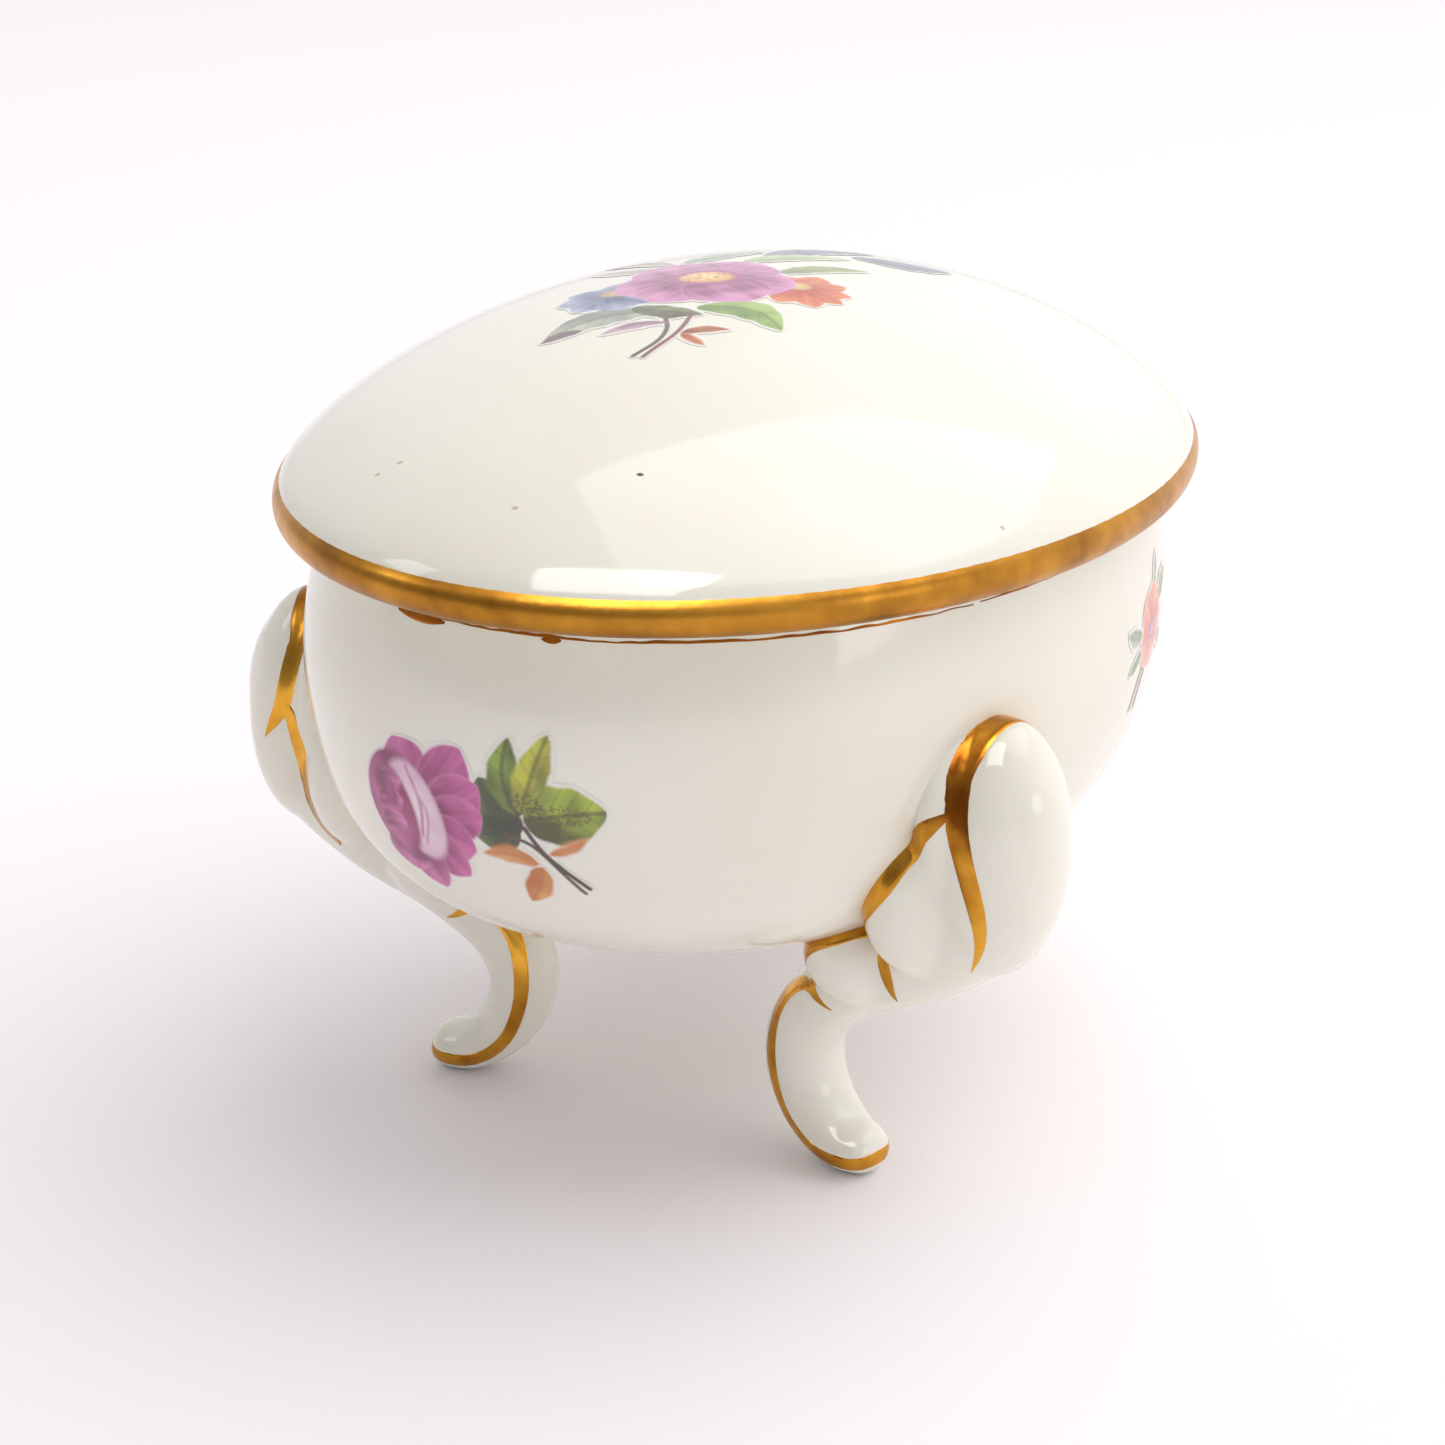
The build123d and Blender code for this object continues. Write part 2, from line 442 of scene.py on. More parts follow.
def brush_strokes(name, surface, routes, finish, body, lift=FILM):
    """One piece of ribbons on a surface. A route is rows of (x, y, z, width) in the frame, in metres."""
    across = (-0.5, -0.46, -0.25, 0.0, 0.25, 0.46, 0.5)
    height = (-0.6, 0.7, 1.0, 1.0, 1.0, 0.7, -0.6)
    work = bmesh.new()
    for route in routes:
        path = smooth_path(route, STROKE_STEPS)
        middles = []
        for row in path:
            spot, normal, _, _ = surface.find_nearest(Vector(row[:3]))
            middles.append((spot, normal, max(row[3], THINNEST)))
        # The hand rides over small creases, so the stroke's middle is eased before it is set down.
        for _ in range(EASING):
            eased = [middles[0]]
            for before, here, after in zip(middles, middles[1:], middles[2:]):
                spot, normal, _, _ = surface.find_nearest((before[0] + here[0] * 2 + after[0]) / 4)
                eased.append((spot, normal, here[2]))
            middles = eased + [middles[-1]]
        rungs = []
        for k, (spot, normal, width) in enumerate(middles):
            along = middles[min(k + 1, len(middles) - 1)][0] - middles[max(k - 1, 0)][0]
            side = normal.cross(along).normalized()
            rung = []
            for share, rise in zip(across, height):
                near, up, _, _ = surface.find_nearest(spot + side * share * width)
                rung.append(work.verts.new(near + up * lift * rise))
            rungs.append(rung)
        for first, second in zip(rungs, rungs[1:]):
            for k in range(len(across) - 1):
                work.faces.new((first[k], first[k + 1], second[k + 1], second[k]))
    bmesh.ops.recalc_face_normals(work, faces=work.faces)
    mesh = bpy.data.meshes.new(name)
    work.to_mesh(mesh)
    work.free()
    piece = bpy.data.objects.new(name, mesh)
    bpy.context.scene.collection.objects.link(piece)
    # Recalculating an open ribbon can leave it face down, so each face is turned to its surface's side.
    wrong = [
        p.index for p in mesh.polygons if p.normal.dot(surface.find_nearest(p.center)[1]) < 0
    ]
    turned = bmesh.new()
    turned.from_mesh(mesh)
    turned.faces.ensure_lookup_table()
    bmesh.ops.reverse_faces(turned, faces=[turned.faces[k] for k in wrong])
    turned.to_mesh(mesh)
    turned.free()
    apply_modifier(piece, "SOLIDIFY", thickness=FILM_DEPTH * lift, offset=-1)
    make_active(piece)
    bpy.ops.object.shade_smooth_by_angle(angle=math.radians(CRISP_ANGLE))
    mesh.materials.append(finish)
    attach(piece, body)
    print(name, len(piece.data.polygons), "faces")
    return piece


# %% [markdown]
# The strokes of one leg
#
# A horseshoe runs over the knee, a scallop goes round each lower lobe, and a line runs down the shank and
# round the sole. A hand-drawn stroke has no formula, so each is a short list of places where the brush turned
# or was pressed. One flank is listed and the other is its mirror image.

# %% paint the legs
# Each row is (out, side, up, width) in millimetres in a leg's plane; side is towards the flank.
HORSESHOE = [
    (15.2, 3.3, 24.3, 0.1),
    (16.8, 4.5, 27.6, 0.9),
    (16.9, 5.5, 31.0, 1.5),
    (15.8, 6.1, 35.0, 1.8),
    (14.8, 6.0, 38.0, 2.1),
    (14.3, 5.2, 41.0, 2.3),
    (14.2, 4.2, 42.8, 2.5),
    (14.2, 2.4, 44.0, 2.6),
    (14.4, 0.0, 44.6, 2.6),
]
SECOND = [
    (14.4, 6.3, 38.4, 0.5),
    (13.0, 7.3, 37.2, 1.5),
    (11.7, 8.0, 35.4, 2.0),
    (10.6, 8.4, 33.0, 2.0),
    (9.4, 8.0, 30.2, 1.9),
    (7.9, 6.8, 27.6, 1.7),
    (7.2, 5.4, 24.8, 1.5),
    (7.8, 4.7, 22.1, 1.2),
    (8.0, 3.5, 19.3, 0.1),
]
THIRD = [
    (7.4, 5.4, 27.0, 0.3),
    (5.6, 6.2, 26.2, 1.3),
    (3.7, 6.5, 24.8, 1.8),
    (1.4, 6.0, 22.9, 1.9),
    (-0.6, 5.0, 20.4, 1.6),
    (-1.2, 4.6, 18.6, 1.3),
    (-0.3, 4.3, 17.4, 0.9),
    (1.5, 4.0, 16.3, 0.1),
]
SHANK_LINE = [
    (-0.4, 4.4, 17.3, 0.3),
    (-2.4, 4.4, 18.1, 1.3),
    (-4.0, 4.1, 17.3, 1.8),
    (-5.0, 4.0, 15.1, 1.7),
    (-5.3, 3.9, 12.4, 1.5),
    (-5.3, 3.9, 9.5, 1.4),
    (-4.8, 3.8, 7.1, 1.3),
    (-3.9, 3.6, 4.9, 1.3),
    (-2.5, 3.4, 3.2, 1.4),
    (-0.5, 3.2, 2.0, 1.5),
    (1.8, 2.9, 1.6, 1.5),
    (3.6, 2.0, 1.7, 1.4),
    (4.6, 0.0, 1.9, 1.3),
]
# On the left leg the brush left the knee early, and the first scallop runs further out.
SHORT_TIP = [(17.2, 5.4, 32.6, 0.1), (16.2, 5.9, 34.4, 1.1), (15.4, 6.2, 36.2, 1.7)]
OVER_KNEE = HORSESHOE[5:]
LEFT_SECOND = [
    (15.3, 6.1, 36.2, 0.6),
    (14.5, 6.4, 34.8, 1.4),
    (13.9, 6.3, 32.5, 1.6),
    (13.3, 5.9, 30.2, 1.9),
    (12.4, 5.4, 27.4, 2.3),
    (11.5, 4.9, 24.6, 1.8),
    (11.0, 4.4, 22.6, 0.3),
]


def both_flanks(rows):
    """A stroke that runs up one flank, over the middle and down the other."""
    return rows + [(out, -side, up, width) for out, side, up, width in rows[-2::-1]]


def mirrored(rows):
    return [(out, -side, up, width) for out, side, up, width in rows]


def gild(leg_name):
    """All the gold strokes of one leg, as one piece."""
    leg, place = LEGS[leg_name]
    on_left = leg_name == "left"
    horseshoe = SHORT_TIP + OVER_KNEE if on_left else HORSESHOE
    routes = [both_flanks(horseshoe), both_flanks(SHANK_LINE)]
    for stroke in (LEFT_SECOND if on_left else SECOND, THIRD):
        routes += [stroke, mirrored(stroke)]
    in_frame = [
        [(*(place @ Vector((out * MM, side * MM, up * MM))), width * MM) for out, side, up, width in rows]
        for rows in routes
    ]
    return brush_strokes(
        f"leg_{leg_name}_gilding", surface_of(leg), in_frame, STROKE_GOLD, "base"
    )


STROKE_GOLD = burnished_gold("brushed_stroke_gold", "#E9AC3E", "#8E5016", 0.16, 0.3)
for leg_name in LEGS:
    gild(leg_name)

# %% [markdown]
# The gold line under the rim
#
# A line was drawn freehand on the bowl's wall just below the rim, with a nearly dry brush: it is thin and
# red-brown, it wanders, breaks in places and blots where the brush paused. It is one long ribbon on the wall,
# and its width follows a slow noise. The seat under the lid keeps its own gold.

# %% draw the rim line
LINE_UP = 54.05
LINE_STEPS = 420
LINE_WIDTH = 0.2
SLOW_WAVES, QUICK_WAVES = 5, 22
FAR_OUT = 200 * MM


def on_wall(turn, up):
    """Place on the bowl's outside at an angle round the axis, in radians, and a height in mm."""
    middle = in_mm(0, 0, up)
    way = Vector((math.sin(turn) * OVAL_RATIO, -math.cos(turn), 0)).normalized()
    far = middle + way * FAR_OUT
    spot, _, _, _ = BOWL_SURFACE.ray_cast(far, -way)
    return spot


def rim_route(start, end, seed):
    """Wandering stroke along the wall between two angles in degrees, pointed at both ends."""
    rows = []
    count = max(int(abs(end - start) / 360 * LINE_STEPS), 6)
    for k in range(count + 1):
        share = k / count
        turn = math.radians(start + (end - start) * share)
        slow = noise.noise(Vector((math.cos(turn) * SLOW_WAVES, math.sin(turn) * SLOW_WAVES, seed)))
        quick = noise.noise(
            Vector((math.cos(turn) * QUICK_WAVES, math.sin(turn) * QUICK_WAVES, seed + 5))
        )
        width = (LINE_WIDTH + 0.14 * slow + 0.12 * quick) * min(1, 12 * share, 12 * (1 - share))
        up = LINE_UP + 0.12 * quick + 0.1 * slow
        rows.append((*on_wall(turn, up), max(width, 0.1) * MM))
    return rows


STROKE_ENDS = [(-14, 62), (63, 118), (120, 189), (190, 262), (264, 318), (320, 344)]
RIM_GOLD = burnished_gold("dry_brushed_gold", "#B56E22", "#6A3210", 0.3, 0.5)
rim_routes = [rim_route(start, end, seed) for seed, (start, end) in enumerate(STROKE_ENDS)]
# Where the brush was set down it left a short spill and, a little further on, a blot.
SPILL_SHARES = (0.25, 0.8, 1.0, 0.85, 0.2)
for turn, half, up, width in ((-10, 4.2, 53.75, 0.95), (9.6, 1.3, 53.85, 0.6)):
    angles = np.radians(np.linspace(turn - half, turn + half, len(SPILL_SHARES)))
    rim_routes.append([(*on_wall(a, up), width * share * MM) for a, share in zip(angles, SPILL_SHARES)])
brush_strokes("rim_line_gilding", BOWL_SURFACE, rim_routes, RIM_GOLD, "base", 0.03 * MM)

# %% [markdown]
# The painted sprays
#
# The sprays are printed transfers fired into the glaze, retouched by hand: each has soft edges, fine veins
# and a little stipple, and it lies flush under the same gloss as the wall. A transfer could be an image, but
# here it is painted by rule. A dense sheet of points is laid on the surface, every petal, leaf and stem
# colours the points that it covers, and the unpainted part of the sheet is cut away.

# %% paint on a sheet of points
SHEET_STEP = 0.1
GLAZE_WHITE = np.array(linear("#F5F3EC")[:3])
SOFT_EDGE = 0.4
INK_STRENGTH = 0.94
WASH_WAVES = 24


def ink(hex_colour):
    return np.array(linear(hex_colour)[:3])


def smoothly(value, low, high):
    """0 below low, 1 above high, with an even ramp between them."""
    return np.clip((value - low) / (high - low), 0, 1)


class Sheet:
    """Points of a transfer, in mm across and up, with the ink and the cover that each has taken."""

    def __init__(self, low, high, seed):
        self.columns = np.arange(low[0], high[0], SHEET_STEP)
        self.rows = np.arange(low[1], high[1], SHEET_STEP)
        grid = np.meshgrid(self.columns, self.rows)
        self.spots = np.stack([grid[0].ravel(), grid[1].ravel()], axis=1)
        self.colour = np.tile(GLAZE_WHITE, (len(self.spots), 1))
        self.cover = np.zeros(len(self.spots))
        self.chance = np.random.default_rng(seed)
        # A slow unevenness, as pigment pools in a wash: a few random waves laid over each other.
        self.wash = np.zeros(len(self.spots))
        for _ in range(WASH_WAVES):
            turn = self.chance.uniform(0, math.tau)
            pitch = self.chance.uniform(0.5, 3.2) * np.array([math.cos(turn), math.sin(turn)])
            self.wash += np.sin(self.spots @ pitch + self.chance.uniform(0, math.tau)) / WASH_WAVES

    def lay(self, tone, amount):
        """Lays ink over what is there. tone is one colour or a colour for every point."""
        share = amount[:, None]
        self.colour = self.colour * (1 - share) + tone * share
        self.cover = np.maximum(self.cover, amount)

    def along(self, root, tip, bend=0.0):
        """Each point's share of the way from root to tip, its distance to the side, and the length."""
        root, tip = np.array(root, float), np.array(tip, float)
        length = np.linalg.norm(tip - root)
        way = (tip - root) / length
        away = self.spots - root
        share = away @ way / length
        side = away @ np.array([-way[1], way[0]]) - bend * np.sin(np.pi * np.clip(share, 0, 1))
        return share, side, length


print("a sheet has a point every", SHEET_STEP, "mm")

# %% [markdown]
# The decorator's strokes
#
# A petal is broad and round-tipped, deep at its root and light toward its edge, with fine streaks. A leaf is
# pointed, lighter on one side of its midrib, with slanting side veins. A stem is a thin line.

# %% petals, leaves and stems
def petal(sheet, root, tip, width, light, deep, edge=None, bend=0.0):
    """Round-tipped petal; width is half its breadth in mm."""
    share, side, _ = sheet.along(root, tip, bend)
    inner = np.clip(share, 0, 1)
    half = width * np.sin(np.pi * inner**1.25) ** 0.5
    ripple = 0.1 * width * np.sin(5 * inner + 2 * side / width)
    inside = (half + ripple * inner - np.abs(side)) * (share > 0) * (share < 1)
    amount = smoothly(inside, 0, SOFT_EDGE)
    streak = 0.12 * np.sin(side / width * 9 + 4 * inner) + 0.06 * np.sin(side / width * 23)
    tone = np.clip(inner**1.6 + streak + 0.8 * sheet.wash, 0, 1)[:, None]
    sheet.lay(ink(deep) * (1 - tone) + ink(light) * tone, amount)
    if edge:
        sheet.lay(ink(edge), amount * (1 - smoothly(inside, 0.1, 0.5)) * 0.6)


def leaf(sheet, root, tip, width, light, deep, bend=0.0, vein=None):
    """Pointed leaf with a midrib and slanting side veins, darkest where it leaves its stem."""
    share, side, length = sheet.along(root, tip, bend)
    inner = np.clip(share, 0, 1)
    notch = 1 + 0.04 * np.sin(inner * length * 3.1)
    half = width * notch * np.sin(np.pi * inner**0.85) ** 0.55
    inside = (half - np.abs(side)) * (share > 0) * (share < 1)
    amount = smoothly(inside, 0, SOFT_EDGE)
    lit = 0.25 * np.sign(side) * smoothly(np.abs(side), 0.05, 0.5)
    tone = np.clip(0.15 + 0.6 * inner + lit + 1.1 * sheet.wash, 0, 1)[:, None]
    sheet.lay(ink(deep) * (1 - tone) + ink(light) * tone, amount)
    dark = ink(vein or deep)
    sheet.lay(dark, amount * (1 - smoothly(np.abs(side), 0.08, 0.26)) * 0.6)
    slant = np.sin((inner * length - 0.8 * np.abs(side)) * 4.2)
    sheet.lay(dark, amount * smoothly(slant, 0.75, 1.0) * 0.25)


def stem(sheet, points, width, colour):
    """Thin line through points."""
    path = smooth_path(points, 40)
    near = np.min(np.linalg.norm(sheet.spots[:, None, :] - path[None, :, :], axis=2), axis=1)
    sheet.lay(ink(colour), 1 - smoothly(near, width * 0.5, width * 0.5 + 0.14))


def oval(sheet, middle, radii, light, deep, lit=(0.0, 0.0), turn=0.0):
    """Soft oval, lightest at the place lit, in shares of its radii; turn is in degrees."""
    c, n = math.cos(math.radians(turn)), math.sin(math.radians(turn))
    away = (sheet.spots - np.array(middle)) @ np.array([[c, -n], [n, c]]) / np.array(radii)
    inside = (1 - np.linalg.norm(away, axis=1)) * min(radii)
    tone = np.clip(1.1 - np.linalg.norm(away - np.array(lit), axis=1) + sheet.wash, 0, 1)[:, None]
    sheet.lay(ink(deep) * (1 - tone) + ink(light) * tone, smoothly(inside, 0, SOFT_EDGE))


def dots(sheet, middle, radii, count, size, colour):
    """Stipple inside an oval."""
    for _ in range(count):
        turn = sheet.chance.uniform(0, math.tau)
        reach = math.sqrt(sheet.chance.uniform(0, 1))
        spot = np.array(middle) + reach * np.array(radii) * np.array([math.cos(turn), math.sin(turn)])
        near = np.linalg.norm(sheet.spots - spot, axis=1)
        sheet.lay(ink(colour), 0.6 * (1 - smoothly(near, size * 0.4, size)))


def flower(sheet, middle, radii, turns, widths, light, deep, edge):
    """Open flower: a petal at each turn, in degrees, with its half width as a share of the radius."""
    for turn, width in zip(turns, widths):
        way = np.array([math.cos(math.radians(turn)), math.sin(math.radians(turn))]) * np.array(radii)
        root = np.array(middle) - 0.12 * way
        petal(sheet, root, np.array(middle) + way, width * min(radii), light, deep, edge)


print("petal, leaf, stem, oval, dots and flower are ready")

# %% [markdown]
# Laying a transfer
#
# The decorator slides the wet transfer on and rubs it flat, so the sheet takes the wall's own curve. The
# points are dropped on the surface along one direction, a hair above the glaze, and the finish is the same
# glass with the ink's colour under it.

# %% fire a transfer
TRANSFER_LIFT = 0.035 * MM
STAND_OFF = 60 * MM
BARE = 0.02


def fired_ink():
    """Glaze gloss over the colour that each point of the sheet carries."""
    material, tree = new_material("fired_transfer")
    colour = add_node(tree, "ShaderNodeAttribute", {"attribute_name": "ink"}).outputs["Color"]
    place = add_node(tree, "ShaderNodeTexCoord").outputs["Object"]
    haze = add_node(tree, "ShaderNodeTexNoise", vector=place, scale=grain(1.1), detail=2.0).outputs[0]
    gloss = spread(tree, haze, 0.1, 0.2)
    shader = add_node(
        tree,
        "ShaderNodeBsdfPrincipled",
        base_color=colour,
        roughness=gloss,
        ior=GLAZE_IOR,
        specular_ior_level=0.45,
    )
    put_out(tree, shader)
    return material


FIRED_INK = fired_ink()


def fire(sheet, name, surface, middle, across, up, body):
    """Lays a painted sheet on a surface. middle, across and up place it; the sheet falls along its back."""
    wide, tall = len(sheet.columns), len(sheet.rows)
    across, up = Vector(across).normalized(), Vector(up).normalized()
    outward = across.cross(up)
    stipple = 1 + 0.07 * (sheet.chance.random(len(sheet.spots)) - 0.5)
    share = (sheet.cover * INK_STRENGTH)[:, None]
    shade = GLAZE_WHITE * (1 - share) + sheet.colour * stipple[:, None] * share
    painted = sheet.cover > BARE
    work = bmesh.new()
    points = {}
    kept = []
    for row in range(tall - 1):
        for column in range(wide - 1):
            corner = row * wide + column
            ring = (corner, corner + 1, corner + wide + 1, corner + wide)
            if not any(painted[k] for k in ring):
                continue
            for k in ring:
                if k not in points:
                    a, b = sheet.spots[k]
                    start = middle + across * (a * MM) + up * (b * MM) + outward * STAND_OFF
                    spot, normal, _, _ = surface.ray_cast(start, -outward)
                    if spot is not None:
                        points[k] = work.verts.new(spot + normal * TRANSFER_LIFT)
                        kept.append(k)
            if all(k in points for k in ring):
                work.faces.new([points[k] for k in ring])
    mesh = bpy.data.meshes.new(name)
    work.to_mesh(mesh)
    work.free()
    layer = mesh.color_attributes.new("ink", "FLOAT_COLOR", "POINT")
    values = np.ones((len(kept), 4))
    values[:, :3] = np.clip(shade[kept], 0, 1)
    layer.data.foreach_set("color", values.ravel())
    piece = bpy.data.objects.new(name, mesh)
    bpy.context.scene.collection.objects.link(piece)
    make_active(piece)
    bpy.ops.object.shade_smooth()
    mesh.materials.append(FIRED_INK)
    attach(piece, body)
    print(name, len(mesh.polygons), "faces")
    return piece


# %% [markdown]
# The bouquet on the lid
#
# An open pink flower with a yellow eye sits in the middle, with a grey-blue flower on its left and a small
# orange one on its right. Green and grey leaves spread below and behind, and two cut stems trail forward.
# Across and up here are turned with the bouquet, which lies aslant on the lid.

# %% paint the bouquet
bouquet = Sheet((-19, -24), (18, 19), 11)
GREY_LEAF = ("#BCC6AE", "#84937C")
VIOLET_LEAF = ("#83839C", "#444260")
leaf(bouquet, (0.5, 6), (10.2, 15.0), 2.3, *VIOLET_LEAF, bend=1.4)
leaf(bouquet, (8.2, 10.2), (17.2, 12.2), 2.3, *VIOLET_LEAF, bend=-1.2)
leaf(bouquet, (-6.5, 4), (0.6, 10.6), 1.7, *GREY_LEAF, bend=0.8)
leaf(bouquet, (-1.5, 3.5), (8.0, 8.4), 1.8, "#C9D8A0", "#93AA70", bend=1.0)
leaf(bouquet, (1.5, -1), (9.6, 3.4), 1.5, "#B4B878", "#7F8852", bend=0.8)
leaf(bouquet, (-7.5, 4), (-13.6, 9), 1.3, "#CFC0AC", "#A39583", bend=-0.6)
leaf(bouquet, (-8, 2), (-14.6, 5), 1.3, "#CDBBAA", "#A08D80", bend=0.5)
leaf(bouquet, (-8.6, -12.0), (-17.2, -16.0), 2.3, "#C2CAB4", "#8F9788", bend=-1.4, vein="#6E6A68")
leaf(bouquet, (-14.2, -15.0), (-17.6, -16.6), 1.0, "#8E747C", "#6F565F", bend=-0.3)
leaf(bouquet, (-7.4, -14.8), (-12.8, -16.7), 1.0, "#D3B4C4", "#A98899", bend=-0.5)
leaf(bouquet, (-5.0, -11.4), (2.0, -16.0), 2.3, "#B4CC72", "#6F9440", bend=1.9, vein="#5C7A3A")
leaf(bouquet, (-6.2, -17.3), (-2.0, -16.5), 0.95, "#D89060", "#A0522C", bend=0.4)
leaf(bouquet, (-6.2, -17.3), (-4.1, -19.8), 0.8, "#DC8F58", "#B0602F")
leaf(bouquet, (-10.4, -10.8), (-4.4, -13.4), 1.6, "#86915F", "#4E553C", bend=-0.3)
oval(bouquet, (-7.2, -13.2), (1.3, 1.2), "#6A6B48", "#4A4E38")
stem(bouquet, [(-7.6, -13.2), (-7.3, -16.2), (-8.0, -18.8), (-9.8, -21.4)], 0.34, "#6B5A4E")
stem(bouquet, [(-5.4, -13.4), (-6.5, -17.2), (-9.0, -21.6)], 0.34, "#8A5A5C")
stem(bouquet, [(-7.4, -15.0), (-9.4, -14.9), (-11, -15.4)], 0.26, "#A07C88")
flower(
    bouquet, (-12.0, -6.6), (4.9, 4.6), (15, 85, 145, 185, 228, 280, 330),
    (0.5, 0.46, 0.42, 0.42, 0.44, 0.5, 0.5), "#B2BAD2", "#4A5280", "#6F79A6",
)
oval(bouquet, (-11.8, -5.6), (1.7, 1.5), "#D8B48E", "#A08068")
dots(bouquet, (-11.8, -5.6), (1.9, 1.6), 14, 0.26, "#6A5060")
flower(
    bouquet, (3.6, -5.6), (4.3, 4.7), (352, 28, 70, 130, 190, 240, 285, 322),
    (0.34, 0.36, 0.42, 0.44, 0.44, 0.4, 0.38, 0.34), "#EC8A50", "#B83A0C", "#D2551F",
)
oval(bouquet, (3.2, -4.8), (1.5, 1.3), "#E8C07A", "#B98A48")
flower(
    bouquet, (-4.6, -3.2), (8.0, 7.7), (62, 128, 200, 345, 238, 300),
    (0.6, 0.58, 0.52, 0.56, 0.5, 0.54), "#DC92C0", "#861E5C", "#E6B6D4",
)
oval(bouquet, (-4.4, -2.6), (3.3, 2.9), "#B8588E", "#A8487E")
oval(bouquet, (-4.4, -2.6), (2.5, 2.1), "#F8DC92", "#E2A45A", lit=(-0.1, 0.2))
dots(bouquet, (-4.4, -2.6), (2.4, 2.0), 30, 0.24, "#C07A3A")
dots(bouquet, (-4.4, -2.6), (3.0, 2.6), 40, 0.2, "#8E3A66")
LID_SURFACE = surface_of(nodes["lid"])
SLANT = math.radians(26)
fire(
    bouquet, "lid_bouquet", LID_SURFACE, in_mm(0, 0, 60),
    (math.cos(SLANT), math.sin(SLANT), 0), (-math.sin(SLANT), math.cos(SLANT), 0), "lid",
)

# %% [markdown]
# The rose on the front
#
# A full magenta rose seen a little from the side: broad outer petals round a cup that shows a pale crescent.
# It has one dark leaf close by, a forked leaf above, a broad yellow-green leaf on the right, and three small
# orange leaves on a thin brown stem. Across is to the right along the wall, up is the height above the table.

# %% paint the rose
rose = Sheet((-14, 28.5), (13, 48.5), 7)
PINK, MAGENTA, WINE, BLUSH = "#D468A8", "#B03884", "#84125A", "#E6A4CC"
leaf(rose, (3.6, 38.2), (0.6, 42.8), 2.3, "#69744A", "#38402A", bend=0.6)
leaf(rose, (3.9, 38.6), (-0.4, 38.0), 1.9, "#5C6742", "#333B28", bend=0.3)
leaf(rose, (3.9, 40.0), (3.1, 46.4), 1.7, "#94AC3C", "#4A5A26", bend=0.8, vein="#3A4424")
leaf(rose, (4.1, 40.2), (6.2, 47.0), 1.6, "#C9CB3C", "#7A742A", bend=0.1, vein="#55501F")
leaf(rose, (4.2, 39.6), (10.5, 41.0), 2.8, "#B8CC40", "#4E5424", bend=0.2, vein="#403A20")
dots(rose, (4.4, 40.4), (1.6, 1.6), 110, 0.15, "#54402E")
dots(rose, (6.9, 40.4), (2.4, 0.9), 110, 0.14, "#544428")
leaf(rose, (5.0, 35.8), (0.2, 36.0), 1.05, "#E6A670", "#C87838", bend=-0.5)
leaf(rose, (5.2, 35.6), (3.4, 31.8), 1.35, "#E6A45C", "#C47034", bend=0.2)
leaf(rose, (5.8, 36.8), (9.2, 38.8), 0.75, "#EAAE78", "#CC8048", bend=-0.2)
stem(rose, [(2.6, 38.2), (5.0, 37.2), (8.0, 33.4)], 0.24, "#5A4438")
stem(rose, [(4.2, 39.0), (5.6, 36.8), (8.4, 33.9)], 0.3, "#4E3A2E")
# The cup leans to the left, and the outer petals stand round it, the furthest ones first.
for root, tip, width in (
    ((-5.0, 39.2), (-7.8, 44.2), 2.7),
    ((-5.2, 38.4), (-0.9, 44.8), 2.6),
    ((-5.0, 38.2), (0.6, 42.0), 2.3),
    ((-5.2, 37.8), (0.8, 39.4), 2.2),
    ((-5.4, 37.4), (-0.2, 36.0), 2.3),
    ((-6.0, 37.2), (-1.4, 33.2), 2.2),
    ((-6.8, 37.0), (-4.8, 30.8), 2.3),
    ((-7.8, 37.0), (-7.6, 31.8), 2.5),
):
    petal(rose, root, tip, width, PINK, WINE, BLUSH)
oval(rose, (-7.5, 38.0), (3.9, 5.3), "#C65A9E", WINE, lit=(-0.3, 0.1), turn=12)
oval(rose, (-5.9, 38.2), (2.9, 4.7), "#F2DDE6", "#E0B4CC", lit=(0.1, -0.1), turn=18)
oval(rose, (-8.1, 37.7), (2.4, 4.3), "#C8609E", "#94205F", lit=(-0.4, -0.2), turn=14)
for rise in (2.6, 0.9, -1.1):
    petal(rose, (-10.2, 36.7 + rise), (-7.0, 37.9 + rise), 1.2, "#DC7EB6", WINE, bend=0.4)
oval(rose, (-8.5, 39.1), (0.9, 1.6), MAGENTA, WINE, turn=14)
stem(rose, [(-6.4, 42.0), (-5.2, 39.0), (-5.5, 36.0)], 0.2, "#CC8CB4")
stem(rose, [(-5.7, 40.4), (-4.6, 38.2), (-5.2, 35.4)], 0.16, "#D6A0C2")
fire(rose, "front_rose", BOWL_SURFACE, in_mm(0, 0, 0), (1, 0, 0), (0, 0, 1), "base")

# %% [markdown]
# The small sprays on the sides
#
# Between each side leg and the back leg is a small spray with one orange-pink flower. Across runs along the
# wall and up is the height above the table. Only the right one can be seen on the real box from the front;
# the left one is taken to be its mirror image.

